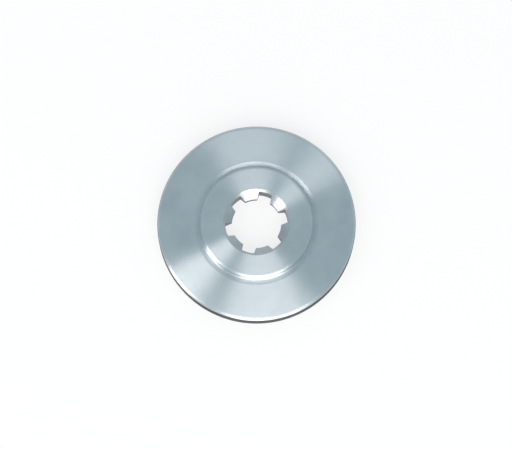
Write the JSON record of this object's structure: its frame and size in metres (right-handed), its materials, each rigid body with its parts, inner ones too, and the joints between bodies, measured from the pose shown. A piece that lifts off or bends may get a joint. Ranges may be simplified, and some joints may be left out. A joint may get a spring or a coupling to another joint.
{
  "type": "brush cutter blade holder",
  "caption": "Round steel flange with a raised centring boss and a splined hub hole, which carries and drives a brush cutter blade.",
  "frame": {"origin": "on the axis of the hub, in the plane of the flat back", "axes": "+Z along the axis, out of the boss; one spline slot lies along +X"},
  "size_m": [0.0442, 0.0442, 0.0051],
  "materials": {
    "zinc_plated_steel": "bright zinc plating over fine concentric turning marks"
  },
  "bodies": {
    "root": {"blade_holder": "zinc_plated_steel"}
  },
  "joints": []
}
